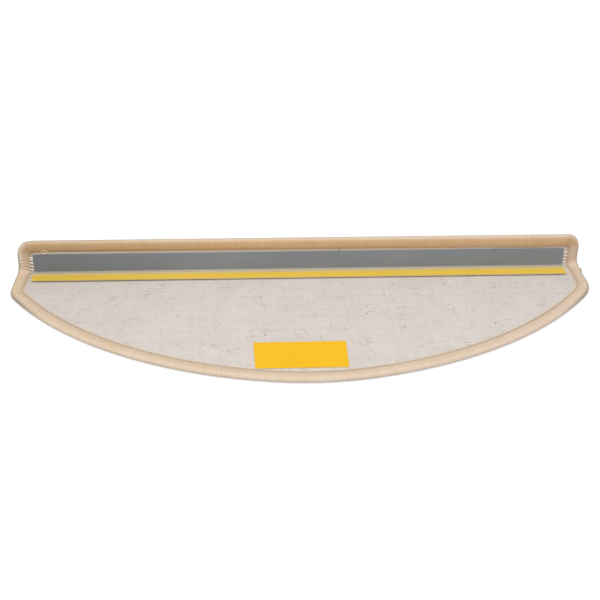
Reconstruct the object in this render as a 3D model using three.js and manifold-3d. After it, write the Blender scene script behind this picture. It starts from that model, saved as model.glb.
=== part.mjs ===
// Half round stair tread mat with a nose flap, lying on its pile with the backing up and the flap standing.
// Lengths in millimetres, angles in degrees, +Z up. X runs along the nose and +Y points to the flap.
// The origin is on the floor, under the middle of the mat's box.
import * as THREE from "three";
import { mergeVertices } from "three/addons/utils/BufferGeometryUtils.js";
import Module from "manifold-3d";

const wasm = await Module();
wasm.setup();

// Outline of the mat
const matWidth = 650; // from tip to tip
const treadDepth = 235; // from the flap's inner face to the rear edge
const rearRadius = 290; // middle stretch of the rear edge
const flapHeight = 40; // from the backing to the flap's top edge
const flapTuck = 2.4; // each end of the flap lies this far inside the tips
const tuckRun = 9; // length of side over which the flap draws in, each side of the bend

// The two ends were cut and bound by hand and differ a little
const leftSideLength = 38.4; // straight side of the tread, from the flap's inner face
const leftTipRadius = 32;
const leftTipTurn = 33.6; // how far the outline turns at the tip
const leftCornerRadius = 20; // flap's top corner
const rightSideLength = 35.2;
const rightTipRadius = 55;
const rightTipTurn = 37.4;
const rightCornerRadius = 17;

// Layers and the bend between tread and flap
const carpetThickness = 5.2;
const scrimThickness = 0.8;
const bendRadius = 2.5; // inside the bend, at the backing
const layerGap = 0.1; // clearance between pieces that are glued or sewn together

// Yarn binding round the edge
const bindingWidth = 13;
const bindingYarn = 1.3; // thickness of the yarn wrapped over the edge
const bindingEdgeRound = 3;
const bindingLipRound = 1;
const smallestInset = 0.8; // radius that is left at the inner side of a tight corner

// Angle profile in the bend
const profileEndGap = 5.1; // backing that shows between the binding and each end of the profile
const profileThickness = 1.4;
const profileTreadLeg = 22.6; // from the flap's inner face
const profileFlapLeg = 23.5; // from the backing
const profileCorner = 3.4; // outside radius

// Double sided tapes and their liners
const tapeThickness = 0.25;
const linerThickness = 0.12;
const noseTapeWidth = 17.5;
const noseTapeSetback = 4.1; // from the flap's inner face to the strip
const noseTapeTurn = 0.08;
const rearTapeLength = 93.5;
const rearTapeWidth = 50;
const rearTapeOffset = -10.7; // the patch was stuck a little left of the middle
const rearTapeEdgeGap = 7.7; // from the binding to the patch
const rearTapeTurn = 0.1;

// Fineness of the round stretches
const rearStep = 2.6;
const cornerStep = 11;
const bendSteps = 7;
const tuckSteps = 2;
const middleFacet = 1; // width of the single facet in the middle of the rear edge, as an angle
const sameLevel = 0.01; // levels closer than this count as one

const radians = THREE.MathUtils.degToRad;

// Places that follow from the sizes above
const backing = carpetThickness + scrimThickness; // height of the backing over the floor
const flapFace = (treadDepth - backing) / 2; // Y of the flap's inner face
const bendLength = (bendRadius * Math.PI) / 2;
const topOfSheet = bendLength + flapHeight - bendRadius;
const rearOfSheet = bendRadius - treadDepth;
const channelInset = bindingYarn + layerGap; // edge of the carpet, inside the yarn
const profileLength = matWidth - 2 * (flapTuck + bindingWidth + profileEndGap);

// Folds the flat mat. x runs along the nose, s across it from the start of the bend, h up from the pile's face.
function fold(x, s, h) {
  const below = backing - h;
  const radius = bendRadius + below;
  if (s <= 0) return new THREE.Vector3(x, flapFace - bendRadius + s, h);
  if (s >= bendLength) return new THREE.Vector3(x, flapFace + below, backing + bendRadius + s - bendLength);
  const turn = s / bendRadius;
  return new THREE.Vector3(
    x,
    flapFace - bendRadius + radius * Math.sin(turn),
    backing + bendRadius - radius * Math.cos(turn),
  );
}

// Stations along one half of the flat outline, from the middle of the rear edge to the flap's top edge.
// Each has its place, its outward normal and the radius of the outline there.
function halfOutline(sideLength, tipRadius, tipTurn, cornerRadius) {
  const stations = [];
  const add = (x, s, angle, radius) =>
    stations.push({ x, s, nx: Math.cos(angle), ns: Math.sin(angle), radius });
  const arc = (cx, cs, radius, from, to, step, first) => {
    const steps = Math.max(1, Math.round((to - from) / radians(step)));
    for (let i = first; i <= steps; i++) {
      const angle = from + ((to - from) * i) / steps;
      add(cx + radius * Math.cos(angle), cs + radius * Math.sin(angle), angle, radius);
    }
  };

  // The rear edge is two arcs. The flank arc starts tangent to the middle arc and ends tangent to the tip.
  const tipAngle = -radians(tipTurn);
  const tip = { x: matWidth / 2 - tipRadius, s: bendRadius - sideLength };
  const middle = { x: 0, s: rearOfSheet + rearRadius };
  const normal = { x: Math.cos(tipAngle), s: Math.sin(tipAngle) };
  const end = { x: tip.x + tipRadius * normal.x, s: tip.s + tipRadius * normal.s };
  const away = { x: end.x - middle.x, s: end.s - middle.s };
  const flankRadius =
    (away.x ** 2 + away.s ** 2 - rearRadius ** 2) /
    (2 * (away.x * normal.x + away.s * normal.s - rearRadius));
  const flank = { x: end.x - flankRadius * normal.x, s: end.s - flankRadius * normal.s };
  const sign = Math.sign(flankRadius - rearRadius);
  const join = Math.atan2(sign * (middle.s - flank.s), sign * (middle.x - flank.x));

  const facet = radians(middleFacet) / 2;
  arc(middle.x, middle.s, rearRadius, -Math.PI / 2 + facet, join, rearStep, 0);
  arc(flank.x, flank.s, flankRadius, join, tipAngle, rearStep, 1);
  arc(tip.x, tip.s, tipRadius, tipAngle, 0, cornerStep / 2, 1);

  // Straight side with its draw-in at the bend
  const levels = [];
  for (let i = 0; i < tuckSteps; i++) levels.push(-tuckRun * (1 - i / tuckSteps));
  for (let i = 0; i <= bendSteps; i++) levels.push((bendLength * i) / bendSteps);
  for (let i = 1; i <= tuckSteps; i++) levels.push(bendLength + (tuckRun * i) / tuckSteps);
  for (const s of levels) {
    const drawn = THREE.MathUtils.smoothstep(s, -tuckRun, bendLength + tuckRun);
    add(matWidth / 2 - flapTuck * drawn, s, 0, Infinity);
  }

  const cornerX = matWidth / 2 - flapTuck - cornerRadius;
  arc(cornerX, topOfSheet - cornerRadius, cornerRadius, 0, Math.PI / 2, cornerStep, 0);
  return stations;
}

const rightOutline = halfOutline(rightSideLength, rightTipRadius, rightTipTurn, rightCornerRadius);
const leftOutline = halfOutline(leftSideLength, leftTipRadius, leftTipTurn, leftCornerRadius);

// A station's place moved in from the outer edge
function inset(station, margin) {
  const depth = Math.min(margin, station.radius - smallestInset);
  return { x: station.x - depth * station.nx, s: station.s - depth * station.ns };
}

// Half width of an outline, moved in by margin, at the level s
function widthAt(outline, margin, s) {
  const points = outline.map((station) => inset(station, margin));
  const above = points.findIndex((p) => p.s >= s);
  if (above === 0) return points[0].x;
  if (above < 0) return points[points.length - 1].x;
  const a = points[above - 1];
  const b = points[above];
  return a.x + ((b.x - a.x) * (s - a.s)) / (b.s - a.s);
}

// Closed surface through rings of points whose order turns right-handed about the way they follow each other
function skin(rings, closed) {
  const count = rings[0].length;
  const faces = [];
  const spans = closed ? rings.length : rings.length - 1;
  for (let i = 0; i < spans; i++) {
    const here = i * count;
    const next = ((i + 1) % rings.length) * count;
    for (let j = 0; j < count; j++) {
      const k = (j + 1) % count;
      faces.push(here + j, here + k, next + k, here + j, next + k, next + j);
    }
  }
  if (!closed) {
    const last = (rings.length - 1) * count;
    for (let j = 1; j < count - 1; j++) faces.push(0, j + 1, j, last, last + j, last + j + 1);
  }
  const geometry = new THREE.BufferGeometry().setFromPoints(rings.flat());
  geometry.setIndex(faces);
  return geometry;
}

// One layer of the mat between two heights, cut to the outline less a margin and folded
function layer(margin, low, high) {
  const levels = [...rightOutline, ...leftOutline].map((station) => inset(station, margin).s);
  levels.sort((a, b) => a - b);
  const kept = levels.filter((s, i) => i === 0 || s - levels[i - 1] > sameLevel);
  const rings = kept.map((s) => {
    const left = -widthAt(leftOutline, margin, s);
    const right = widthAt(rightOutline, margin, s);
    return [fold(left, s, high), fold(right, s, high), fold(right, s, low), fold(left, s, low)];
  });
  return skin(rings, false);
}

function solid(geometry) {
  const bare = geometry.clone();
  for (const name of Object.keys(bare.attributes)) {
    if (name !== "position") bare.deleteAttribute(name);
  }
  const merged = mergeVertices(bare, 1e-3);
  return new wasm.Manifold(
    new wasm.Mesh({
      numProp: 3,
      vertProperties: new Float32Array(merged.attributes.position.array),
      triVerts: new Uint32Array(merged.index.array),
    }),
  );
}

function joined(first, second) {
  const mesh = solid(first).add(solid(second)).getMesh();
  const geometry = new THREE.BufferGeometry();
  geometry.setAttribute("position", new THREE.BufferAttribute(new Float32Array(mesh.vertProperties), 3));
  geometry.setIndex([...mesh.triVerts]);
  return geometry;
}

function piece(name, geometry, color, roughness) {
  geometry.computeVertexNormals();
  const mesh = new THREE.Mesh(geometry, new THREE.MeshStandardMaterial({ color, roughness, metalness: 0 }));
  mesh.name = name;
  return mesh;
}

// Carpet: full thickness inside the binding, pressed thin where the yarn goes round its edge
function carpetPile() {
  const pressed = bindingYarn + layerGap;
  const pressedEdge = layer(channelInset, pressed, carpetThickness);
  const fullPile = layer(bindingWidth + layerGap, 0, (pressed + carpetThickness) / 2);
  return piece("carpet_pile", joined(pressedEdge, fullPile), 0xd9bd98, 0.95);
}

// Woven backing over the whole carpet
function backingScrim() {
  return piece("backing_scrim", layer(channelInset, carpetThickness + layerGap, backing), 0xd6cec5, 0.9);
}

// Section of the binding: a channel over the edge, x in from the outer edge and y up from the pile's face
function bindingSection() {
  const top = backing + layerGap + bindingYarn;
  const lip = bindingWidth - bindingLipRound;
  const section = new THREE.Shape();
  section.moveTo(bindingWidth, backing + layerGap);
  section.absarc(lip, top - bindingLipRound, bindingLipRound, 0, radians(90));
  section.absarc(bindingEdgeRound, top - bindingEdgeRound, bindingEdgeRound, radians(90), radians(180));
  section.absarc(bindingEdgeRound, bindingEdgeRound, bindingEdgeRound, radians(180), radians(270));
  section.absarc(lip, bindingLipRound, bindingLipRound, radians(270), radians(360));
  section.lineTo(bindingWidth, bindingYarn);
  section.lineTo(bindingYarn, bindingYarn);
  section.lineTo(bindingYarn, backing + layerGap);
  return section.getPoints(4);
}

// Yarn binding swept round the outline: up the right side, back over the flap and down the left side
function edgeBinding() {
  const left = leftOutline.map((station) => ({ ...station, x: -station.x, nx: -station.nx })).reverse();
  const points = bindingSection().filter((p, i, all) => p.distanceTo(all.at(i - 1)) > sameLevel);
  const rings = [...rightOutline, ...left].map((station) =>
    points.map((p) => {
      const place = inset(station, p.x);
      return fold(place.x, place.s, p.y);
    }),
  );
  return piece("edge_binding", skin(rings, true), 0xdcbe9a, 0.85);
}

// Angle profile with a rounded bend, its back to the flap, from the corner of the folded backing
function noseProfile() {
  const inside = profileCorner - profileThickness;
  const section = new THREE.Shape();
  section.moveTo(-profileTreadLeg, 0);
  section.absarc(-profileCorner, profileCorner, profileCorner, radians(270), radians(360));
  section.lineTo(0, profileFlapLeg);
  section.lineTo(-profileThickness, profileFlapLeg);
  section.absarc(-profileCorner, profileCorner, inside, 0, radians(-90), true);
  section.lineTo(-profileTreadLeg, profileThickness);
  const geometry = new THREE.ExtrudeGeometry(section, {
    depth: profileLength,
    bevelEnabled: false,
    curveSegments: 6,
  });
  const alongX = new THREE.Matrix4().makeBasis(
    new THREE.Vector3(0, 1, 0),
    new THREE.Vector3(0, 0, 1),
    new THREE.Vector3(1, 0, 0),
  );
  geometry.applyMatrix4(alongX).translate(-profileLength / 2, 0, 0);
  return piece("nose_profile", geometry, 0x7f7f80, 0.55);
}

// Tape with its liner on top, lying flat with its underside at the group's origin
function tape(name, length, width) {
  const group = new THREE.Group();
  const adhesive = new THREE.BoxGeometry(length, width, tapeThickness);
  const liner = new THREE.BoxGeometry(length, width, linerThickness);
  adhesive.translate(0, 0, tapeThickness / 2);
  liner.translate(0, 0, tapeThickness + layerGap + linerThickness / 2);
  group.add(piece(name + "_adhesive", adhesive, 0xe9e4da, 0.5));
  group.add(piece(name + "_liner", liner, 0xf5c22b, 0.45));
  return group;
}

function noseParts() {
  const group = new THREE.Group();
  group.add(noseProfile());
  const strip = tape("nose_tape", profileLength, noseTapeWidth);
  strip.position.set(0, layerGap - noseTapeSetback - noseTapeWidth / 2, profileThickness + layerGap);
  strip.rotation.z = radians(noseTapeTurn);
  group.add(strip);
  group.position.set(0, flapFace - layerGap, backing + layerGap);
  return group;
}

function rearTape() {
  const patch = tape("rear_tape", rearTapeLength, rearTapeWidth);
  const bindingInside = flapFace - treadDepth + bindingWidth;
  patch.position.set(rearTapeOffset, bindingInside + rearTapeEdgeGap + rearTapeWidth / 2, backing + layerGap);
  patch.rotation.z = radians(rearTapeTurn);
  return patch;
}

const mat = new THREE.Group();
mat.name = "stair_tread_mat";
mat.add(carpetPile(), backingScrim(), edgeBinding(), noseParts(), rearTape());

export default mat;
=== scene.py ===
# %% [markdown]
# This lesson dresses a half round stair tread mat. The mat lies on its pile with its backing up, and its
# nose flap stands at the far side, held square by a grey angle profile. The solids come from the packed
# frame and stay where they are. Each soft piece is made here again with its yarn, weave and stitches.

# %% Load the frame
import bpy
import bmesh
import math
import numpy as np
from mathutils import Matrix, Vector, kdtree


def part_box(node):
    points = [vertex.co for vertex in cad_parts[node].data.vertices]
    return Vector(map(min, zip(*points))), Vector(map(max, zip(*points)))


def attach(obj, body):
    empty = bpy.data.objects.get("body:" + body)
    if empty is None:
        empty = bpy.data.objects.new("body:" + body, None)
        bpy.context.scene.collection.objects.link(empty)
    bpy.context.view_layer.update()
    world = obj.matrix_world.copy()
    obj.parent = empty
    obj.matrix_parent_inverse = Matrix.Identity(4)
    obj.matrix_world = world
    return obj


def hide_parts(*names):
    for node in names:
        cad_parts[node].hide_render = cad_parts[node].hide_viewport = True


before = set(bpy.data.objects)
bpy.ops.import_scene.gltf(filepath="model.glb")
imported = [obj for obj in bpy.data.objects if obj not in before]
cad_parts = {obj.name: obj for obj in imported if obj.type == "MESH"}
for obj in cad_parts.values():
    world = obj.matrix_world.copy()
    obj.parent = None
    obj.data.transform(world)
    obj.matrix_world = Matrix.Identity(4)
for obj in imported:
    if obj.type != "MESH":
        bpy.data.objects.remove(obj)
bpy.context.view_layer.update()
mm = 0.001
print("frame holds", sorted(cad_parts))

# %% [markdown]
# The overall sizes are read from the frame, so the dressing follows the solids. The angle profile lies on
# the backing and against the flap, so its box tells where those two faces are. The outline's radii are
# written again here, because a box can't tell them.

# %% Sizes of the mat
low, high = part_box("edge_binding")
profile_low, profile_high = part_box("nose_profile")
layer_gap = 0.1 * mm
mat_width = high.x - low.x
backing = profile_low.z - layer_gap
flap_face = profile_high.y + layer_gap
tread_depth = flap_face - low.y
flap_height = high.z - backing
bend_radius = 2.5 * mm
binding_width = 13 * mm
binding_yarn = 1.3 * mm
scrim_thickness = 0.8 * mm
rear_radius = 290 * mm
flap_tuck = 2.4 * mm
tuck_run = 9 * mm
left_end = {"side": 38.4 * mm, "tip": 32 * mm, "turn": math.radians(33.6), "corner": 20 * mm}
right_end = {"side": 35.2 * mm, "tip": 55 * mm, "turn": math.radians(37.4), "corner": 17 * mm}
print(f"mat {mat_width:.3f} m wide and {tread_depth:.3f} m deep")
print(f"flap {flap_height:.3f} m high, backing at {backing:.4f} m")

# %% [markdown]
# The real mat was cut flat and folded afterwards, and it is modelled in that order. A place on the flat cut
# is x along the nose and s across it, counted from the start of the bend. The outline could be drawn as a
# curve object, but a chain of arcs and straight lines needs only a few formulas, and they also tell which
# way the edge faces. The binding and the stitches need that direction.

# %% The outline of the flat cut
bend_length = bend_radius * math.pi / 2
top_level = bend_length + flap_height - bend_radius
rear_level = bend_radius - tread_depth
outline_step = 0.5 * mm


def eased(part):
    """A part of the way, from 0 to 1, with a soft start and a soft stop."""
    part = np.clip(part, 0, 1)
    return part * part * (3 - 2 * part)


def half_outline(end):
    """x, s and outward angle of fine points from the middle of the rear edge to the middle of the flap."""
    parts = []

    def arc(cx, cs, radius, start, stop):
        angle = np.linspace(start, stop, max(3, round(radius * abs(stop - start) / outline_step)))[1:]
        parts.append(np.stack([cx + radius * np.cos(angle), cs + radius * np.sin(angle), angle]))

    tip = np.array([mat_width / 2 - end["tip"], bend_radius - end["side"]])
    middle = np.array([0, rear_level + rear_radius])
    facing = np.array([math.cos(end["turn"]), -math.sin(end["turn"])])
    away = tip + end["tip"] * facing - middle
    flank_radius = (away @ away - rear_radius**2) / (2 * (away @ facing - rear_radius))
    flank = tip + (end["tip"] - flank_radius) * facing
    join = math.atan2(*(middle - flank)[::-1])
    if flank_radius < rear_radius:
        join = math.atan2(*(flank - middle)[::-1])
    arc(*middle, rear_radius, -math.pi / 2, join)
    arc(*flank, flank_radius, join, -end["turn"])
    arc(*tip, end["tip"], -end["turn"], 0)
    side = np.arange(tip[1] + outline_step, top_level - end["corner"], outline_step)
    drawn = eased((side + tuck_run) / (bend_length + 2 * tuck_run))
    parts.append(np.stack([mat_width / 2 - flap_tuck * drawn, side, 0 * side]))
    corner_x = mat_width / 2 - flap_tuck - end["corner"]
    arc(corner_x, top_level - end["corner"], end["corner"], 0, math.pi / 2)
    run = np.linspace(corner_x, 0, round(corner_x / outline_step))[1:]
    parts.append(np.stack([run, 0 * run + top_level, 0 * run + math.pi / 2]))
    return np.concatenate(parts, axis=1)


right_half = half_outline(right_end)
left_half = half_outline(left_end)
mirrored = left_half[:, ::-1] * np.array([[-1], [1], [-1]]) + np.array([[0], [0], [math.pi]])
outline = np.concatenate([right_half, mirrored], axis=1)
closing = np.hypot(*np.diff(outline[:2], axis=1, append=outline[:2, :1]))
travelled = np.concatenate([[0], np.cumsum(closing)])
edge_length = travelled[-1]
print(f"edge {edge_length:.3f} m long")

# %% Places on the flat cut
# the run along the flap's top lies at one level and faces along s, so it sets no width
top_run_angle = math.pi / 2 - 0.001


def edge_at(distance, inward):
    """x and s of the point that far along the edge and that far in from it, and its outward angle."""
    looped = np.append(outline, [[outline[0, 0]], [outline[1, 0]], [outline[2, 0] + 2 * math.pi]], axis=1)
    x, s, angle = (np.interp(distance % edge_length, travelled, row) for row in looped)
    return x - inward * np.cos(angle), s - inward * np.sin(angle), angle


def widths_at(level, inward):
    """How far the flat cut reaches to the left and to the right at a level, with its edge moved inward."""
    reach = []
    for half in (left_half, right_half):
        x, s, angle = half[:, half[2] < top_run_angle]
        reach.append(np.interp(level, s - inward * np.sin(angle), x - inward * np.cos(angle)))
    return reach


def is_inside(x, s, inward):
    """True for each point of the flat cut that lies inside its edge moved inward."""
    left, right = widths_at(s, inward)
    return (x > -left) & (x < right) & (s > rear_level + inward) & (s < top_level - inward)


print("the cut is widest at", [round(float(w), 4) for w in widths_at(bend_radius - right_end["side"], 0)])

# %% [markdown]
# Folding bends the flat cut round the nose. Cloth keeps its length on one face only: the backing keeps its
# length inside the bend, and the pile opens up outside it. So the fold takes the height at which s was
# measured, and every layer can be made flat with even spacing on its own face. A Simple Deform modifier
# can bend a mesh too, but not at one tight line with straight parts on both sides. The angle profile holds
# the bend tight. Past its two ends the thick cloth rounds the bend off.

# %% The fold
loose_bend = 6 * mm
profile_end = profile_high.x
loosening = 14 * mm


def fold(x, s, h, measured_at=None):
    """Where the point x, s of the flat cut, h over the pile's face, lies on the folded mat."""
    measured_at = backing if measured_at is None else measured_at
    inner = bend_radius + loose_bend * eased((np.abs(x) - profile_end) / loosening)
    start = (bend_radius - inner) * math.pi / 4
    arc_length = (inner + backing - measured_at) * math.pi / 2
    turn = np.clip((s - start) / arc_length, 0, 1) * math.pi / 2
    radius = inner + backing - h
    y = flap_face - bend_radius + np.minimum(s, start) + radius * np.sin(turn)
    z = backing + inner - radius * np.cos(turn) + np.maximum(s - start - arc_length, 0)
    return np.stack([x + 0 * y, y, z], axis=1)


def unstretched(s, measured_at):
    """The same level as the backing measures it."""
    arc_length = (bend_radius + backing - measured_at) * math.pi / 2
    on_bend = s * bend_length / arc_length
    on_flap = s - arc_length + bend_length
    return np.where(s < 0, s, np.where(s > arc_length, on_flap, on_bend))


flap_top_folded = fold(np.zeros(1), np.array([top_level]), backing)[0]
print("the middle of the flap's top edge folds to", [round(float(v), 4) for v in flap_top_folded])

# %% [markdown]
# Small helpers hand coordinates between a mesh and numpy, because a field of loops has too many points to
# move one by one. The shapes themselves start from bmesh operators: most soft pieces are a flat grid that
# is then laid on the mat, and sheets get their thickness by an extrusion of all their faces.

# %% Helpers for meshes
merge_distance = 0.002 * mm


def grid(name, columns, rows):
    """A flat mesh of that many cells, from 0 to 1 both ways."""
    bm = bmesh.new()
    bmesh.ops.create_grid(bm, x_segments=columns, y_segments=rows, size=0.5)
    bmesh.ops.translate(bm, vec=(0.5, 0.5, 0), verts=bm.verts)
    return finished_mesh(bm, name)


def finished_mesh(bm, name):
    """The bmesh written to a new mesh."""
    mesh = bpy.data.meshes.new(name)
    bm.to_mesh(mesh)
    bm.free()
    return mesh


def points_of(mesh):
    flat = np.empty(len(mesh.vertices) * 3, np.float32)
    mesh.vertices.foreach_get("co", flat)
    return flat.reshape(-1, 3).astype(float)


def move_points(mesh, points):
    mesh.vertices.foreach_set("co", np.ascontiguousarray(points, np.float32).ravel())
    mesh.update()


def store_uv(mesh, first, second):
    """A UV map that holds two numbers of each point."""
    corners = np.empty(len(mesh.loops), np.int32)
    mesh.loops.foreach_get("vertex_index", corners)
    pairs = np.stack([first[corners], second[corners]], axis=1).astype(np.float32)
    mesh.uv_layers.new(name="cloth").data.foreach_set("uv", pairs.ravel())


# %% Helpers for bmesh operators
def edit(mesh, work):
    """Runs a function of bmesh operators on a mesh."""
    bm = bmesh.new()
    bm.from_mesh(mesh)
    work(bm)
    bm.to_mesh(mesh)
    bm.free()


def new_verts(made):
    """The points among what an operator made."""
    return [v for v in made["geom"] if isinstance(v, bmesh.types.BMVert)]


def thicken(mesh, height):
    """Makes a flat sheet a closed slab of that height."""
    def work(bm):
        made = bmesh.ops.extrude_face_region(bm, geom=bm.faces[:])
        bmesh.ops.translate(bm, vec=(0, 0, height), verts=new_verts(made))
        bmesh.ops.recalc_face_normals(bm, faces=bm.faces[:])

    edit(mesh, work)


def close_seams(mesh):
    """Joins the ends of a grid that was rolled into a tube."""
    def work(bm):
        bmesh.ops.remove_doubles(bm, verts=bm.verts[:], dist=merge_distance)
        bmesh.ops.recalc_face_normals(bm, faces=bm.faces[:])

    edit(mesh, work)


# %% [markdown]
# Each finished mesh becomes an object at the origin, so that its own coordinates are those of the frame.
# It rides on the mat's one body. Where it stands for a solid it replaces it.
# The editor can do all this by hand, but a function treats every piece alike.

# %% Helper for pieces
def add_piece(mesh, material, slot, *nodes):
    """Puts a finished mesh in the scene as a piece of the mat."""
    piece = bpy.data.objects.new(mesh.name, mesh)
    bpy.context.scene.collection.objects.link(piece)
    piece.data.materials.append(material)
    piece.data.shade_smooth()
    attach(piece, "root")
    if nodes:
        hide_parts(*nodes)
    print(f"{piece.name}: {len(mesh.vertices)} points")
    return piece


# %% [markdown]
# A material is a tree of nodes. Built by hand in the editor it would take hundreds of clicks, so a few
# helpers add a node, feed its inputs and hand on its output. Yarn, weave and paper all need the same two
# effects: a fine fibre grain, and a tone that jumps from one yarn to the next. Each is one shader node
# group with its own inputs, so that every material can place it with its own values.

# %% Shader helpers
def srgb(red, green, blue):
    """A colour as the photograph shows it, from 0 to 255, in the linear values that shaders take."""
    values = [c / 255 for c in (red, green, blue)]
    return [v / 12.92 if v <= 0.04045 else ((v + 0.055) / 1.055) ** 2.4 for v in values] + [1]


def add_node(tree, kind, inputs=(), **settings):
    """Adds a node. Each input is linked to another node's output, or takes a plain value."""
    node = tree.nodes.new(kind)
    for key, value in settings.items():
        setattr(node, key, value)
    for key, value in dict(inputs).items():
        if isinstance(value, bpy.types.NodeSocket):
            tree.links.new(value, node.inputs[key])
        else:
            node.inputs[key].default_value = value
    return node


# %% Helpers for sums and masks
def calculate(tree, operation, first, second=0.5):
    return add_node(tree, "ShaderNodeMath", {0: first, 1: second}, operation=operation).outputs[0]


def times(tree, first, *others):
    for other in others:
        first = calculate(tree, "MULTIPLY", first, other)
    return first


def plus(tree, first, *others):
    for other in others:
        first = calculate(tree, "ADD", first, other)
    return first


def opposite(tree, mask):
    """1 where the mask is 0, and 0 where it is 1."""
    return calculate(tree, "SUBTRACT", 1, mask)


def magnitude(tree, value):
    return calculate(tree, "ABSOLUTE", value)


def from_middle(tree, value):
    """How far the fraction of a counted value lies from one half."""
    fraction = calculate(tree, "FRACT", value)
    return magnitude(tree, calculate(tree, "SUBTRACT", fraction, 0.5))


def limited(tree, value):
    """The value, kept from 0 to 1."""
    return add_node(tree, "ShaderNodeClamp", {"Value": value}).outputs[0]


def smooth_step(tree, value, low, high):
    """0 below low and 1 above high."""
    inputs = {"Value": value, "From Min": low, "From Max": high}
    return add_node(tree, "ShaderNodeMapRange", inputs, interpolation_type="SMOOTHSTEP").outputs[0]


# %% Helpers for colours and coordinates
# the Mix node keeps its two colours in these inputs, after those for numbers and vectors
first_colour = 6
second_colour = 7
mixed_colour = 2


def mix_colours(tree, factor, first, second, way="MIX"):
    inputs = {0: factor, first_colour: first, second_colour: second}
    return add_node(tree, "ShaderNodeMix", inputs, data_type="RGBA", blend_type=way).outputs[mixed_colour]


def multiply_colours(tree, first, second, factor=1):
    return mix_colours(tree, factor, first, second, "MULTIPLY")


def object_place(tree):
    return add_node(tree, "ShaderNodeTexCoord").outputs["Object"]


def object_axis(tree, axis):
    return add_node(tree, "ShaderNodeSeparateXYZ", {0: object_place(tree)}).outputs[axis]


def cloth_place(tree):
    """The UV map of a soft piece, whole and as its two numbers."""
    cloth = add_node(tree, "ShaderNodeUVMap", uv_map="cloth").outputs[0]
    split = add_node(tree, "ShaderNodeSeparateXYZ", {0: cloth})
    return cloth, split.outputs["X"], split.outputs["Y"]


def new_material(name, roughness, sheen=0.0, specular=0.5):
    """A material with its node tree and its shader."""
    material = bpy.data.materials.new(name)
    material.use_nodes = True
    tree = material.node_tree
    shader = tree.nodes["Principled BSDF"]
    shader.inputs["Roughness"].default_value = roughness
    shader.inputs["Sheen Weight"].default_value = sheen
    shader.inputs["Specular IOR Level"].default_value = specular
    return material, tree, shader


def add_bump(tree, shader, height, distance):
    bump = add_node(tree, "ShaderNodeBump", {"Height": height, "Distance": distance, "Strength": 1})
    tree.links.new(bump.outputs["Normal"], shader.inputs["Normal"])


# %% Shared shader effects
grain_detail = 3
grain_roughness = 0.6
seed_spacing = 0.731


def new_group(name, inputs, outputs):
    """An empty node group, with the sockets it takes and gives."""
    group = bpy.data.node_groups.new(name, "ShaderNodeTree")
    for label, kind, value in inputs:
        socket = group.interface.new_socket(label, in_out="INPUT", socket_type=kind)
        if value is not None:
            socket.default_value = value
    for label, kind in outputs:
        group.interface.new_socket(label, in_out="OUTPUT", socket_type=kind)
    return group, group.nodes.new("NodeGroupInput").outputs, group.nodes.new("NodeGroupOutput").inputs


def make_fibre_grain():
    """Fine noise, stretched along one way, as fibres lie in a yarn."""
    group, given, result = new_group(
        "fibre_grain",
        [("Vector", "NodeSocketVector", None), ("Stretch", "NodeSocketVector", (1, 1, 1)),
         ("Scale", "NodeSocketFloat", 1000), ("Contrast", "NodeSocketFloat", 1)],
        [("Grain", "NodeSocketFloat")],
    )
    stretched = add_node(
        group, "ShaderNodeVectorMath", {0: given["Vector"], 1: given["Stretch"]}, operation="MULTIPLY"
    )
    noise = add_node(group, "ShaderNodeTexNoise", {
        "Vector": stretched.outputs[0], "Scale": given["Scale"],
        "Detail": grain_detail, "Roughness": grain_roughness,
    })
    centred = calculate(group, "SUBTRACT", noise.outputs["Fac"], 0.5)
    group.links.new(times(group, centred, given["Contrast"]), result["Grain"])
    return group


def make_yarn_tone():
    """A tone of its own for each numbered yarn, from 0 to 1."""
    group, given, result = new_group(
        "yarn_tone",
        [("Number", "NodeSocketFloat", 0), ("Seed", "NodeSocketFloat", 0)],
        [("Tone", "NodeSocketFloat")],
    )
    whole = calculate(group, "FLOOR", given["Number"])
    mixed = plus(group, whole, times(group, given["Seed"], seed_spacing))
    chance = add_node(group, "ShaderNodeTexWhiteNoise", {"W": mixed}, noise_dimensions="1D")
    group.links.new(chance.outputs["Value"], result["Tone"])
    return group


fibre_grain = make_fibre_grain()
yarn_tone = make_yarn_tone()


def grain(tree, vector, scale, stretch=(1, 1, 1), contrast=1.0):
    inputs = {"Vector": vector, "Stretch": stretch, "Scale": scale, "Contrast": contrast}
    return add_node(tree, "ShaderNodeGroup", inputs, node_tree=fibre_grain).outputs["Grain"]


def tone(tree, number, seed):
    inputs = {"Number": number, "Seed": seed}
    return add_node(tree, "ShaderNodeGroup", inputs, node_tree=yarn_tone).outputs["Tone"]


print("shader groups", [g.name for g in bpy.data.node_groups])

# %% [markdown]
# The photograph shows the mat a little darker towards its left end. A lamp off to the right could do that,
# but it would darken all materials alike, and here yarn, plastic and paper differ. So each material has a
# slight shade of its own there.

# %% Shade towards the left end
dim_from = 80 * mm
dim_full = 310 * mm


def dim_left(tree, colour, shade, share=1):
    """The colour under a painted shade that comes in towards the left end."""
    left = smooth_step(tree, times(tree, object_axis(tree, "X"), -1), dim_from, dim_full)
    return multiply_colours(tree, colour, shade, times(tree, left, share))


print(f"shaded from {dim_from / mm:.0f} to {dim_full / mm:.0f} mm left of the middle")
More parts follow.
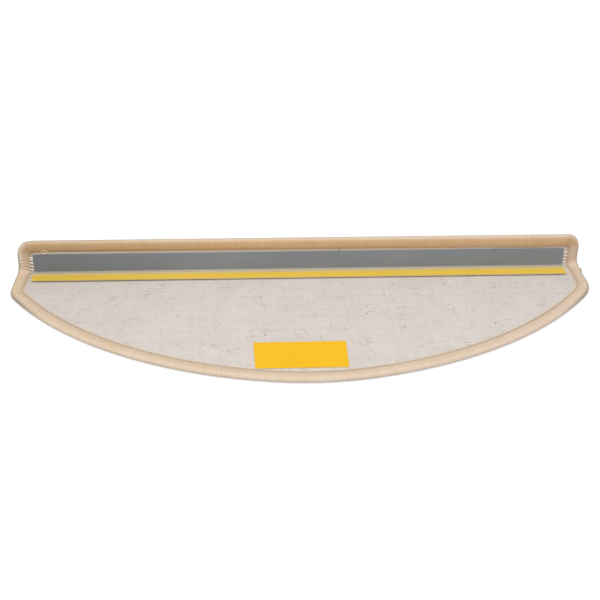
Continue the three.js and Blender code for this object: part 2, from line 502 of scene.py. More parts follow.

# %% [markdown]
# The binding yarn is soft polyester in peach beige. The UV map holds the wrap's number and the place
# across, from 0 at the inner lip on the backing to 1 at the lip on the pile. Two colour ramps on the place
# across give most of the look, because they follow the yarn round the whole edge. The needle thread pulls
# the yarn down along the inner lip, and the brown there is partly fluff and partly painted shade in that
# groove. A painted highlight makes the yarn palest where it bulges over the edge, and painted shade darkens
# it past the bulge, where it turns towards the pile.

# %% Yarn tones and painted shading across the binding
# place across the binding, and how much red, green and blue the painted shade and highlight leave there
yarn_painted_shading = (
    (0.0, (0.5, 0.42, 0.35)),
    (0.05, (0.6, 0.52, 0.42)),
    (0.15, (0.76, 0.71, 0.64)),
    (0.27, (0.82, 0.76, 0.68)),
    (0.4, (0.9, 0.87, 0.83)),
    (0.5, (0.99, 0.98, 0.96)),
    (0.66, (1.0, 1.0, 0.99)),
    (0.76, (0.85, 0.78, 0.7)),
    (0.95, (0.75, 0.66, 0.56)),
)
wrap_seed = 1
wrap_share = 0.3
blotch_share = 0.8
yarn_middle_tone = 0.35


def make_shades(tree, place, shades):
    """A colour ramp with those stops."""
    ramp = add_node(tree, "ShaderNodeValToRGB", {0: place})
    stops = ramp.color_ramp.elements
    for position, colour in shades:
        stops.new(position).color = (*colour, 1)
    stops.remove(stops[0])
    stops.remove(stops[-1])
    return ramp.outputs[0]


def colour_yarn(tree, cloth, number, across, fibres):
    """Each wrap has its own tone, under fine fibres and long soft blotches."""
    blotches = grain(tree, cloth, scale=1, stretch=(0.03, 3, 1))
    wrap = times(tree, tone(tree, number, wrap_seed), wrap_share)
    shade = plus(tree, wrap, fibres, yarn_middle_tone, times(tree, blotches, blotch_share))
    yarn = mix_colours(tree, limited(tree, shade), srgb(243, 215, 187), srgb(255, 239, 215))
    # painted shade along the inner lip and past the bulge, and a painted highlight on the bulge
    return multiply_colours(tree, yarn, make_shades(tree, across, yarn_painted_shading))


print(f"{len(yarn_painted_shading)} shades across the binding")

# %% [markdown]
# Light and shade that follow the object and not the yarn are painted into its colour. The run along the top
# of the flap has painted shade, browner on its front than on top, and the outermost edge has painted shade
# where it turns away, on the flap and at the two tips. Painted shade makes the yarn a little duller towards
# the left end, and painted light makes it paler towards the right. Painted textures could hold such marks,
# but masks on Object coordinates stay sharp and can be moved by changing one number.

# %% Painted shade and light along the binding
flap_run_low = 28 * mm
flap_run_high = 36 * mm
flap_top_from = 0.25
flap_top_full = 0.38
flap_front_painted_shade = (0.9, 0.77, 0.58, 1)
flap_top_painted_shade = (0.96, 0.93, 0.88, 1)
# painted shade on the flap's top run towards the left end
left_shade = (0.9, 0.9, 0.9, 1)
# place across the binding, and how much red, green and blue the painted shade leaves there
rim_painted_shade = (
    (0.27, (1, 1, 1)),
    (0.33, (0.8, 0.8, 0.8)),
    (0.38, (0.6, 0.61, 0.62)),
    (0.46, (0.5, 0.5, 0.5)),
    (0.56, (0.75, 0.74, 0.73)),
    (0.66, (1, 1, 1)),
)
rim_shift = 0.13
standing_from = 8 * mm
standing_full = 16 * mm
tip_from = 270 * mm
tip_full = 316 * mm
tint_reach = 310 * mm
left_side_painted_shade = (0.95, 0.97, 1.0, 1)
right_side_painted_light = (1.0, 1.03, 1.13, 1)


# painted shade on the front of the flap's top run, a little lighter on top
def shade_flap_run(tree, yarn, across, run):
    top = smooth_step(tree, across, flap_top_from, flap_top_full)
    return multiply_colours(tree, yarn, mix_colours(tree, top, flap_front_painted_shade, flap_top_painted_shade), run)


# painted shade where the outermost edge turns away, on the flap and at the two tips
def shade_rim(tree, yarn, across, run):
    standing = smooth_step(tree, object_axis(tree, "Z"), standing_from, standing_full)
    tip = smooth_step(tree, magnitude(tree, object_axis(tree, "X")), tip_from, tip_full)
    shifted = calculate(tree, "SUBTRACT", across, times(tree, run, rim_shift))
    rim = make_shades(tree, shifted, rim_painted_shade)
    return multiply_colours(tree, yarn, rim, calculate(tree, "MAXIMUM", standing, tip))


# painted shade towards the left end and painted light towards the right
def paint_side_light(tree, yarn):
    rightward = smooth_step(tree, object_axis(tree, "X"), -tint_reach, tint_reach)
    return multiply_colours(tree, yarn, mix_colours(tree, rightward, left_side_painted_shade, right_side_painted_light))


print(f"the flap's top run starts {flap_run_low / mm:.0f} mm up")

# %% [markdown]
# At the two ends of the flap the needle thread parts the wraps. Painted shade darkens the grooves between
# them, the yarn bulges at the bend and a painted highlight makes it paler there, and up the left end a
# painted highlight makes each pair of wraps show as a pale bead. The grooves are in the mesh as well, but
# they are finer than a pixel, so the painted shade helps them.

# %% Painted light and shade at the ends of the flap
wraps_per_stitch = 2
flap_end_inner = 304 * mm
flap_end_outer = 312 * mm
groove_painted_shade = (0.78, 0.72, 0.66, 1)
groove_from = 0.32
groove_full = 0.5
groove_low = 8 * mm
groove_high = 14 * mm
bend_painted_highlight = (1.06, 1.05, 1.12, 1)
bend_from = 7.2 * mm
bend_full = 11 * mm
bend_fades = 12 * mm
bend_to = 22 * mm
bead_painted_highlight = (1.2, 1.34, 1.55, 1)
bead_inner = 309 * mm
bead_outer = 316 * mm
bead_low = 16 * mm
bead_high = 22 * mm
# place across the binding where a bead begins, is full, starts to fade and has faded
bead_band = (0.2, 0.27, 0.34, 0.4)


# painted highlight at the bend, painted shade in the grooves and painted highlight on the beads
def paint_flap_end_light(tree, yarn, number, across):
    height = object_axis(tree, "Z")
    sideways = object_axis(tree, "X")
    at_end = smooth_step(tree, magnitude(tree, sideways), flap_end_inner, flap_end_outer)
    fading = opposite(tree, smooth_step(tree, height, bend_fades, bend_to))
    bend = times(tree, smooth_step(tree, height, bend_from, bend_full), at_end, fading)
    yarn = multiply_colours(tree, yarn, bend_painted_highlight, bend)
    pair = calculate(tree, "DIVIDE", number, wraps_per_stitch)
    groove = smooth_step(tree, from_middle(tree, pair), groove_from, groove_full)
    above = smooth_step(tree, height, groove_low, groove_high)
    yarn = multiply_colours(tree, yarn, groove_painted_shade, times(tree, groove, at_end, above))
    begins, full, fades, faded = bead_band
    bead = times(
        tree, opposite(tree, groove),
        smooth_step(tree, times(tree, sideways, -1), bead_inner, bead_outer),
        smooth_step(tree, height, bead_low, bead_high),
        smooth_step(tree, across, begins, full),
        opposite(tree, smooth_step(tree, across, fades, faded)),
    )
    return multiply_colours(tree, yarn, bead_painted_highlight, bead)


print(f"grooves show from {flap_end_inner / mm:.0f} mm beside the middle")


# %% Binding yarn material
def make_binding_material():
    material, tree, shader = new_material("binding_yarn", roughness=0.8, sheen=0.2, specular=0.15)
    cloth, number, across = cloth_place(tree)
    fibres = grain(tree, cloth, scale=2.6, stretch=(6, 14, 1))
    run = smooth_step(tree, object_axis(tree, "Z"), flap_run_low, flap_run_high)
    yarn = colour_yarn(tree, cloth, number, across, fibres)
    yarn = shade_flap_run(tree, yarn, across, run)
    yarn = shade_rim(tree, yarn, across, run)
    yarn = paint_side_light(tree, yarn)
    yarn = dim_left(tree, yarn, left_shade, run)
    yarn = paint_flap_end_light(tree, yarn, number, across)
    tree.links.new(yarn, shader.inputs["Base Color"])
    add_bump(tree, shader, fibres, distance=0.15 * mm)
    return material


binding_material = make_binding_material()
print(f"{binding_material.name}: {len(binding_material.node_tree.nodes)} nodes")

# %% [markdown]
# The scrim is woven from off-white tape yarns. Warp yarns run across the mat and weft yarns along it, and
# each is a little lighter or darker than its neighbour. A picture of cloth could be laid over the mesh, but
# it would repeat and blur, so the pattern is worked out from the place on the cut. Thick and thin places in
# the yarns make short darker dashes both ways. Where two yarns lie a little apart a narrow gap shows
# between them. Both come in patches, and a few dark specks of carpet fluff show through.

# %% Gaps between the yarns
warp_pitch = 2.5 * mm
weft_pitch = 4.6 * mm
gap_length = 8 * mm
gap_stagger = 0.37
gap_rarity = 0.55
gap_dark_to = 0.08
gap_ends_at = 0.34
# more than a yarn has gaps, so that each gap gets a number of its own
gap_numbers = 61


def open_gaps(tree, across, along, pitch, seed):
    """Short gaps between one yarn and the next, from 0 to 1."""
    counted = calculate(tree, "DIVIDE", across, pitch)
    yarn = calculate(tree, "FLOOR", counted)
    line = opposite(tree, smooth_step(tree, from_middle(tree, counted), gap_dark_to, gap_ends_at))
    shifted = plus(tree, calculate(tree, "DIVIDE", along, gap_length), times(tree, yarn, gap_stagger))
    number = plus(tree, times(tree, yarn, gap_numbers), calculate(tree, "FLOOR", shifted))
    return times(tree, line, smooth_step(tree, tone(tree, number, seed), gap_rarity, 1))


print(f"{mat_width / warp_pitch:.0f} warp and {(top_level - rear_level) / weft_pitch:.0f} weft yarns")

# %% Thin places and specks
thin_place = 0.1
gap_share = 0.25
patch_from = 0.02
patch_full = 0.16
patch_share = 1.3
outside_patches = 0.4
gap_seed_across = 13
gap_seed_along = 17
speck_cells = 45
speck_rarity = 0.85
speck_radius = 0.06
speck_strength = 0.75


def dark_dashes(tree, cloth, x, s, slubs):
    """Thin places in the yarns and gaps between them, stronger in patches."""
    patches = smooth_step(tree, grain(tree, cloth, scale=55, stretch=(1, 0.7, 1)), patch_from, patch_full)
    thin = [
        calculate(tree, "MAXIMUM", calculate(tree, "SUBTRACT", slub, thin_place), 0) for slub in slubs
    ]
    across = open_gaps(tree, x, s, warp_pitch, gap_seed_across)
    along = open_gaps(tree, s, x, weft_pitch, gap_seed_along)
    gaps = times(tree, calculate(tree, "MAXIMUM", across, along), gap_share)
    strength = plus(tree, times(tree, patches, patch_share), outside_patches)
    return times(tree, plus(tree, *thin, gaps), strength)


def fluff_specks(tree, cloth):
    """Small dots in a few cells of a cell pattern."""
    cells = add_node(tree, "ShaderNodeTexVoronoi", {"Vector": cloth, "Scale": speck_cells}, feature="F1")
    chance = add_node(tree, "ShaderNodeSeparateColor", {0: cells.outputs["Color"]}).outputs[0]
    rare = calculate(tree, "GREATER_THAN", chance, speck_rarity)
    near = calculate(tree, "LESS_THAN", cells.outputs["Distance"], speck_radius)
    return times(tree, rare, near, speck_strength)


# %% Scrim material
warp_seed = 3
weft_seed = 7
warp_share = 0.04
weft_share = 0.06
slub_share_across = 0.3
slub_share_along = 0.35
cloud_share = 0.3
scrim_middle_tone = 0.56
# painted shadow on the strip of scrim under the binding's top run
seam_strip_painted_shadow = (0.82, 0.76, 0.68, 1)
# painted shade on the scrim towards the left end
scrim_left_shade = (0.92, 0.925, 0.925, 1)


def yarn_number(tree, place, pitch):
    """The number of the yarn whose middle is nearest, once it is rounded down."""
    return plus(tree, calculate(tree, "DIVIDE", place, pitch), 0.5)


def make_scrim_material():
    material, tree, shader = new_material("scrim_weave", roughness=0.85, specular=0.2)
    cloth, x, s = cloth_place(tree)
    slubs = (
        grain(tree, cloth, scale=620, stretch=(1, 0.14, 1)),
        grain(tree, cloth, scale=330, stretch=(0.24, 1, 1)),
    )
    shade = plus(
        tree,
        times(tree, tone(tree, yarn_number(tree, x, warp_pitch), warp_seed), warp_share),
        times(tree, tone(tree, yarn_number(tree, s, weft_pitch), weft_seed), weft_share),
        times(tree, slubs[0], slub_share_across),
        times(tree, slubs[1], slub_share_along),
        times(tree, grain(tree, cloth, scale=16), cloud_share),
        scrim_middle_tone,
    )
    shade = calculate(tree, "SUBTRACT", shade, dark_dashes(tree, cloth, x, s, slubs))
    colour = mix_colours(tree, limited(tree, shade), srgb(178, 170, 163), srgb(242, 234, 226))
    colour = mix_colours(tree, fluff_specks(tree, cloth), colour, srgb(112, 98, 92))
    # painted shadow on the scrim high up the flap, under the binding's top run
    run = smooth_step(tree, object_axis(tree, "Z"), flap_run_low, flap_run_high)
    colour = multiply_colours(tree, colour, seam_strip_painted_shadow, run)
    tree.links.new(dim_left(tree, colour, scrim_left_shade), shader.inputs["Base Color"])
    add_bump(tree, shader, plus(tree, *slubs), distance=0.12 * mm)
    return material


scrim_material = make_scrim_material()
print(f"{scrim_material.name}: {len(scrim_material.node_tree.nodes)} nodes")

# %% [markdown]
# The pile is beige loop yarn, and the cloth that holds it is a darker fabric which only shows between the
# loops. Its darker colour is partly painted shade between the loops, because one material for both would
# make the pile look flat. The pile's UV map gives every loop one number, so that a loop has one tone, and a
# fine grain on Object coordinates gives it fibres.

# %% Pile and cloth materials
pile_seed = 5
loop_share = 0.6
pile_middle_tone = 0.2
cloth_middle_tone = 0.5


def make_pile_material():
    material, tree, shader = new_material("pile_yarn", roughness=0.9, sheen=0.25, specular=0.15)
    _, number, _ = cloth_place(tree)
    place = object_place(tree)
    twist = grain(tree, place, scale=1400)
    loop = times(tree, tone(tree, number, pile_seed), loop_share)
    shade = plus(tree, loop, twist, pile_middle_tone, grain(tree, place, scale=30))
    colour = mix_colours(tree, limited(tree, shade), srgb(196, 162, 124), srgb(229, 202, 170))
    tree.links.new(colour, shader.inputs["Base Color"])
    add_bump(tree, shader, twist, distance=0.2 * mm)
    return material


def make_plain_cloth_material():
    material, tree, shader = new_material("pile_base_cloth", roughness=0.95, specular=0.1)
    fibres = grain(tree, object_place(tree), scale=900)
    shade = plus(tree, fibres, cloth_middle_tone)
    # darker than the pile, partly painted shade between the loops
    colour = mix_colours(tree, shade, srgb(150, 120, 88), srgb(190, 160, 124))
    tree.links.new(colour, shader.inputs["Base Color"])
    add_bump(tree, shader, fibres, distance=0.2 * mm)
    return material


pile_material = make_pile_material()
base_cloth_material = make_plain_cloth_material()
print("pile and cloth have their materials")

# %% [markdown]
# The angle profile is matt grey plastic. It was drawn through a die, which leaves faint lines along its
# length, and it has a painted shade towards its left end. A noise that is stretched fifty times gives such
# lines. Its foot carries a film of glue and fluff, and a second colour takes over low down that holds both
# that brown film and a painted reflection of the yellow liner, strongest at the front edge.

# %% Profile plastic
foot_back = profile_high.y - 4 * mm
foot_front = profile_low.y + 2 * mm
foot_top_from = 7.8 * mm
foot_top_full = 10 * mm
line_share = 0.6
plastic_middle_tone = 0.5
plastic_roughness = 0.5
line_roughness = 0.3
# painted shade on the profile towards the left end
profile_left_shade = (0.8, 0.8, 0.8, 1)


def make_profile_material():
    material, tree, shader = new_material("profile_plastic", roughness=plastic_roughness, specular=0.35)
    place = object_place(tree)
    lines = grain(tree, place, scale=900, stretch=(0.02, 1, 1))
    clouds = grain(tree, place, scale=22, stretch=(0.5, 1, 1))
    shade = limited(tree, plus(tree, times(tree, lines, line_share), clouds, plastic_middle_tone))
    plastic = mix_colours(tree, shade, srgb(124, 130, 138), srgb(140, 147, 156))
    # the foot's colour is partly glue and fluff and partly a painted reflection of the yellow liner
    rearward = smooth_step(tree, object_axis(tree, "Y"), foot_front, foot_back)
    foot = mix_colours(tree, rearward, srgb(226, 206, 164), srgb(188, 175, 152))
    low_down = opposite(tree, smooth_step(tree, object_axis(tree, "Z"), foot_top_from, foot_top_full))
    colour = dim_left(tree, mix_colours(tree, low_down, plastic, foot), profile_left_shade)
    tree.links.new(colour, shader.inputs["Base Color"])
    rough = plus(tree, times(tree, lines, line_roughness), plastic_roughness)
    tree.links.new(rough, shader.inputs["Roughness"])
    add_bump(tree, shader, lines, distance=0.05 * mm)
    return material


profile_material = make_profile_material()
print(f"{profile_material.name}: {len(profile_material.node_tree.nodes)} nodes")

# %% [markdown]
# The liners are smooth yellow release paper over cream adhesive, and the needle thread is a pale cream.
# None of them has a pattern that can be seen from here. They share one recipe, soft clouds under a fine
# grain, with two colours each. The thread at the ends of the flap is whiter than the rest.

# %% Paper, adhesive and thread materials
fine_share = 0.4
smooth_middle_tone = 0.5
# painted shade on the nose liner towards the left end
strip_left_shade = (0.87, 0.89, 0.95, 1)
no_shade = (1, 1, 1, 1)


def make_smooth_material(name, dark, light, roughness, scale, end_shade=no_shade):
    material, tree, shader = new_material(name, roughness, specular=0.12)
    place = object_place(tree)
    clouds = grain(tree, place, scale, contrast=1.5)
    fine = grain(tree, place, scale=1500)
    shade = limited(tree, plus(tree, clouds, times(tree, fine, fine_share), smooth_middle_tone))
    colour = dim_left(tree, mix_colours(tree, shade, dark, light), end_shade)
    tree.links.new(colour, shader.inputs["Base Color"])
    add_bump(tree, shader, fine, distance=0.02 * mm)
    return material


patch_paper = make_smooth_material(
    "patch_liner_paper", srgb(248, 190, 24), srgb(253, 196, 33), roughness=0.55, scale=14
)
strip_paper = make_smooth_material(
    "strip_liner_paper", srgb(239, 200, 74), srgb(247, 209, 88),
    roughness=0.55, scale=14, end_shade=strip_left_shade,
)
adhesive_material = make_smooth_material(
    "tape_adhesive", srgb(214, 193, 144), srgb(228, 209, 164), roughness=0.5, scale=40
)
thread_material = make_smooth_material(
    "needle_thread", srgb(230, 210, 183), srgb(240, 223, 200), roughness=0.75, scale=300
)
end_thread_material = make_smooth_material(
    "end_thread", srgb(252, 246, 232), srgb(255, 252, 244), roughness=0.75, scale=300
)
print("materials", sorted(m.name for m in bpy.data.materials))

# %% [markdown]
# The carpet's own cloth lies between pile and scrim. It is one closed sheet. Its rows follow the levels of
# the outline, so a plain grid stretched to the width at each level gives the exact cut. It gets its
# thickness while it is flat, because the fold then gives the bend its true inner and outer radius.

# %% Carpet cloth
cloth_inset = binding_yarn + layer_gap
cloth_low = 1.5 * mm
cloth_high = backing - scrim_thickness
row_spacing = 6 * mm
bend_rows = 12
cloth_columns = 24


def make_carpet_cloth():
    spaced = np.arange(0, edge_length / 2, row_spacing)
    _, s, _ = edge_at(spaced, cloth_inset)
    bend = np.linspace(0, bend_length, bend_rows)
    levels = np.unique(np.round(np.concatenate([s[s < 0], bend, s[s > bend_length]]), 5))[1:]
    mesh = grid("carpet_cloth", cloth_columns, len(levels) - 1)
    flat = points_of(mesh)
    level = levels[np.round(flat[:, 1] * (len(levels) - 1)).astype(int)]
    left, right = widths_at(level, cloth_inset)
    flat[:, 0] = flat[:, 0] * (left + right) - left
    flat[:, 1] = level
    flat[:, 2] = cloth_low
    move_points(mesh, flat)
    thicken(mesh, cloth_high - cloth_low)
    flat = points_of(mesh)
    move_points(mesh, fold(*flat.T))
    return add_piece(mesh, base_cloth_material, "pile", "carpet_pile")


carpet_cloth = make_carpet_cloth()

# %% [markdown]
# The pile is a field of low loops. Hair particles would need far more faces and don't survive an export. So
# one loop is half a small ball, and two Array modifiers repeat it in rows. The rows are then shaken a
# little, cut to the outline and folded. The tread's pile faces the floor, so its loops have fewer faces
# than those on the flap.

# %% Shape of a loop
loop_pitch_x = 2.9 * mm
loop_pitch_s = 3.0 * mm
loop_half_width = 0.56 * loop_pitch_x
loop_half_length = 0.6 * loop_pitch_s
loop_open_from = 0.1
pile_root = cloth_low + 0.3 * mm


def loop_shape(sides, rings):
    """Half a ball, its crown down, a little wider than the pitch."""
    bm = bmesh.new()
    bmesh.ops.create_uvsphere(bm, u_segments=sides, v_segments=rings, radius=1)
    upper = [v for v in bm.verts if v.co.z > loop_open_from]
    bmesh.ops.delete(bm, geom=upper, context="VERTS")
    bmesh.ops.scale(bm, vec=(loop_half_width, loop_half_length, pile_root), verts=bm.verts)
    bmesh.ops.translate(bm, vec=(0, 0, pile_root), verts=bm.verts)
    return finished_mesh(bm, "loop")


def repeated(mesh, columns, rows):
    """The mesh repeated by two Array modifiers, as one new mesh."""
    worker = bpy.data.objects.new("worker", mesh)
    bpy.context.scene.collection.objects.link(worker)
    for count, offset in ((columns, (loop_pitch_x, 0, 0)), (rows, (0, loop_pitch_s, 0))):
        array = worker.modifiers.new("rows", "ARRAY")
        array.count = count
        array.use_relative_offset = False
        array.use_constant_offset = True
        array.constant_offset_displace = offset
    made = bpy.data.meshes.new_from_object(worker.evaluated_get(bpy.context.evaluated_depsgraph_get()))
    bpy.data.objects.remove(worker)
    return made


print(f"a loop is {2 * loop_half_width / mm:.1f} by {2 * loop_half_length / mm:.1f} mm")

# %% Pile loops
pile_inset = binding_width + 0.6 * mm
pile_bend_length = (bend_radius + backing) * math.pi / 2
pile_top = pile_bend_length + flap_height - bend_radius
size_spread = 0.1
smallest_loop = 0.75
largest_loop = 1.2
place_spread = 0.12 * loop_pitch_x
row_spread = 0.6


def make_pile(name, first, last, sides, rings, seed):
    chance = np.random.default_rng(seed)
    loop = loop_shape(sides, rings)
    size = len(loop.vertices)
    rows = int((last - first) / loop_pitch_s)
    columns = int(mat_width / loop_pitch_x)
    mesh = repeated(loop, columns, rows)
    mesh.name = name
    flat = points_of(mesh).reshape(-1, size, 3)
    number = np.arange(len(flat))
    row = number // columns
    centre = flat.mean(axis=1)
    centre[:, 2] = 0
    grown = 1 + size_spread * chance.standard_normal((len(flat), 1, 1))
    shape = (flat - centre[:, None]) * np.clip(grown, smallest_loop, largest_loop)
    shape[:, :, 2] = pile_root - (pile_root - shape[:, :, 2]).clip(0, pile_root)
    shift = place_spread * chance.standard_normal((len(flat), 2))
    centre[:, 0] += shift[:, 0] - columns * loop_pitch_x / 2 + (row % 2) * loop_pitch_x / 2
    centre[:, 1] += shift[:, 1] * row_spread + first
    kept = is_inside(centre[:, 0], unstretched(centre[:, 1], 0), pile_inset)
    flat = (shape + centre[:, None]).reshape(-1, 3)
    move_points(mesh, fold(*flat.T, measured_at=0))
    store_uv(mesh, np.repeat(number.astype(float), size), np.repeat(row.astype(float), size))
    outside = set(np.repeat(~kept, size).nonzero()[0].tolist())

    def trim(bm):
        bmesh.ops.delete(bm, geom=[v for v in bm.verts if v.index in outside], context="VERTS")

    edit(mesh, trim)
    print(f"{name}: {kept.sum()} loops")
    return add_piece(mesh, pile_material, "pile")


tread_pile = make_pile("tread_pile", rear_level + binding_width, 0, sides=5, rings=4, seed=11)
flap_pile = make_pile("flap_pile", 0, pile_top, sides=6, rings=6, seed=12)

# %% [markdown]
# The scrim is a real weave: the height of the sheet at each point is the higher of the warp and the weft
# there, and each dives under the other in turn. Single yarns would need a million faces, and a bump alone
# would look flat from the side, so one sheet takes the height of both. The grid has two points to a warp
# yarn and four to a weft yarn. Its edge is trimmed to the outline under the binding, with the outer points
# drawn on to the cut, and a short skirt closes it down to the cloth.

# %% Scrim weave
yarn_rise = 0.09 * mm
yarn_round = 0.16 * mm
scrim_inset = 4.5 * mm
scrim_skirt = 0.5 * mm
points_per_warp = 2
points_per_weft = 4


def weave_height(x, s):
    column = np.round(x / warp_pitch)
    row = np.round(s / weft_pitch)
    warp_off = 2 * (x / warp_pitch - column)
    weft_off = 2 * (s / weft_pitch - row)
    warp = yarn_rise * np.cos(math.pi * (s / weft_pitch + column)) - yarn_round * warp_off**2
    weft = -yarn_rise * np.cos(math.pi * (x / warp_pitch + row)) - yarn_round * weft_off**2
    return np.maximum(warp, weft)


def make_scrim():
    step_x = warp_pitch / points_per_warp
    step_s = weft_pitch / points_per_weft
    columns = 2 * int(mat_width / 2 / step_x)
    first, last = round(rear_level / step_s), round(top_level / step_s)
    mesh = grid("backing_weave", columns, last - first)
    flat = points_of(mesh)
    x = (np.round(flat[:, 0] * columns) - columns / 2) * step_x
    s = (np.round(flat[:, 1] * (last - first)) + first) * step_s
    outside = set((~is_inside(x, s, scrim_inset)).nonzero()[0].tolist())
    move_points(mesh, np.stack([x, s, 0 * x], axis=1))
    cut_x, cut_s, _ = edge_at(np.arange(0, edge_length, outline_step), scrim_inset)
    cut = kdtree.KDTree(len(cut_x))
    for i, (a, b) in enumerate(zip(cut_x, cut_s)):
        cut.insert((a, b, 0), i)
    cut.balance()

    def trim(bm):
        bmesh.ops.delete(bm, geom=[v for v in bm.verts if v.index in outside], context="VERTS")
        for vert in bm.verts:
            if vert.is_boundary:
                vert.co = cut.find(vert.co)[0]
        rim = [e for e in bm.edges if e.is_boundary]
        made = bmesh.ops.extrude_edge_only(bm, edges=rim)
        bmesh.ops.translate(bm, vec=(0, 0, -scrim_skirt), verts=new_verts(made))

    edit(mesh, trim)
    flat = points_of(mesh)
    woven = backing - yarn_rise + weave_height(flat[:, 0], flat[:, 1]) + flat[:, 2]
    store_uv(mesh, flat[:, 0], flat[:, 1])
    move_points(mesh, fold(flat[:, 0], flat[:, 1], woven))
    return add_piece(mesh, scrim_material, "scrim", "backing_scrim")


scrim = make_scrim()

# %% [markdown]
# Scrim and carpet were cut and bound together, so both have the same cut.

# %% [markdown]
# The binding is yarn wrapped over the edge by an overlock machine. Its section is a flat oval round a
# channel that holds the edge of the mat. Every wrap could be a curve with a bevel, but hundreds of them
# would leave gaps. So one long grid goes round the section one way and round the mat the other, with four
# columns to each wrap: one in the groove and three over the yarn. At the ends of the flap the needle thread
# pulls every second groove in deeper.

# %% Section of the binding
section_points = 20
oval_power = 2.5
pile_clearance = 1.6 * mm
oval_excess = 0.7 * mm


def binding_section():
    """Inward distance, height and outward direction round the binding, from the inner lip on the backing."""
    middle = rise = (backing + pile_clearance) / 2
    half = (binding_width + oval_excess) / 2
    start = math.asin(((backing + layer_gap - middle) / rise) ** (oval_power / 2))
    stop = math.asin(((middle - binding_yarn) / rise) ** (oval_power / 2))
    angle = np.linspace(start, 2 * math.pi - stop, section_points)
    across, up = np.cos(angle), np.sin(angle)
    inward = half + half * np.sign(across) * np.abs(across) ** (2 / oval_power)
    height = middle + rise * np.sign(up) * np.abs(up) ** (2 / oval_power)
    facing = np.stack([across / half, up / rise])
    facing = facing / np.hypot(*facing)
    inward = np.append(inward, [binding_yarn, binding_yarn])
    height = np.append(height, [binding_yarn, backing + layer_gap])
    facing = np.append(facing, np.zeros((2, 2)), axis=1)
    return inward, height, facing


print(f"the section has {len(binding_section()[0])} points")

# %% [markdown]
# A seam sewn by hand on a machine is never quite even. The real binding is up to 2.6 mm wider in places,
# and the bend pushes its yarn out at the flap's right end. Both are small shifts of the same grid.

# %% Binding
wrap_pitch = 2.05 * mm
wrap_relief = 0.32 * mm
wrap_level = 0.7
wrap_spread = 0.2
thinnest_wrap = 0.6
thickest_wrap = 1.4
wrap_shape_seed = 21
wrap_slant = 1.6
columns_per_wrap = 4
pulled_in = 0.25 * mm
# how much wider the binding was sewn in places, along the edge from the middle of the rear edge
wider_places = (0, 0.17, 0.25, 0.28, 0.33, 0.5, 0.68, 0.712, 0.73, 0.76, 0.83, 1)
wider_by = [w * mm for w in (0.1, 0.3, 1.6, 1.4, 2.3, 0.9, 0.2, 2.6, 2.4, 1.4, 0.3, 0.1)]
pushed_out = 2.3 * mm
pushed_at = -7.5 * mm
pushed_run = 4.2 * mm


def make_binding():
    wraps = round(edge_length / wrap_pitch)
    inward, height, facing = binding_section()
    count = len(inward)
    mesh = grid("binding_wrap", wraps * columns_per_wrap, count)
    flat = points_of(mesh)
    station = np.round(flat[:, 0] * wraps * columns_per_wrap)
    row = np.round(flat[:, 1] * count).astype(int) % count
    chance = np.random.default_rng(wrap_shape_seed)
    thickness = np.clip(1 + wrap_spread * chance.standard_normal(wraps), thinnest_wrap, thickest_wrap)
    place = station / columns_per_wrap / wraps
    wrap = (station // columns_per_wrap).astype(int) % wraps
    over = 2 * (station / columns_per_wrap % 1) - 1
    bulge = wrap_relief * thickness[wrap] * (np.sqrt(1 - over**2) - wrap_level)
    flat_x, flat_s, _ = edge_at(place * edge_length, 0)
    on_side = (flat_s > bend_length) & (flat_s < top_level - binding_width)
    at_end = (np.abs(flat_x) > flap_end_inner) & on_side
    bulge -= pulled_in * at_end * (station % (wraps_per_stitch * columns_per_wrap) == 0)
    wider = 1 + np.interp(place, wider_places, wider_by) / binding_width
    outermost = np.clip(1 - inward[row] / binding_width, 0, 1)
    beside_bend = np.exp(-((flat_s - pushed_at) / pushed_run) ** 2) * (flat_x > flap_end_inner)
    pushed = pushed_out * beside_bend * outermost
    slant = wrap_slant * wrap_pitch * outermost
    x, s, _ = edge_at(place * edge_length + slant, inward[row] * wider + bulge * facing[0, row] - pushed)
    h = height[row] + bulge * facing[1, row]
    move_points(mesh, fold(x, s, np.maximum(h, 0)))
    store_uv(mesh, station / columns_per_wrap, flat[:, 1] * count / section_points)
    close_seams(mesh)
    print(f"{wraps} wraps")
    return add_piece(mesh, binding_material, "binding_yarn", "edge_binding")


binding = make_binding()

# %% [markdown]
# The needle thread of the overlock seam shows as pale loops that cross from the binding on to the backing,
# thick at their inner end. Up both sides of the flap they reach across to the ends of the angle profile. A
# loop a few pixels long needs no more than a small ball, drawn out on one side and laid down from the seam.

# %% Shape of a stitch
stitch_pitch = wraps_per_stitch * wrap_pitch
stitch_sides = 8
stitch_rings = 10
stitch_radius = 0.7 * mm
end_stitch_radius = 1.0 * mm
outer_thickness = 0.55
sunk_in = 0.5
stitch_start = binding_width - 0.6 * mm
profile_inset = mat_width / 2 - flap_tuck - profile_end
profile_thickness = 1.4 * mm
profile_face = profile_low.z + profile_thickness - layer_gap - backing
side_reach = profile_inset - layer_gap - stitch_start
tread_reach = 3.6 * mm
top_reach = 2.8 * mm
top_zone = 1.2 * binding_width
side_zone = 0.6 * bend_length


def stitch_reach(s):
    """How far the loop that starts at this level of the seam reaches inward."""
    if s > top_level - top_zone:
        return top_reach
    return side_reach if s > side_zone else tread_reach


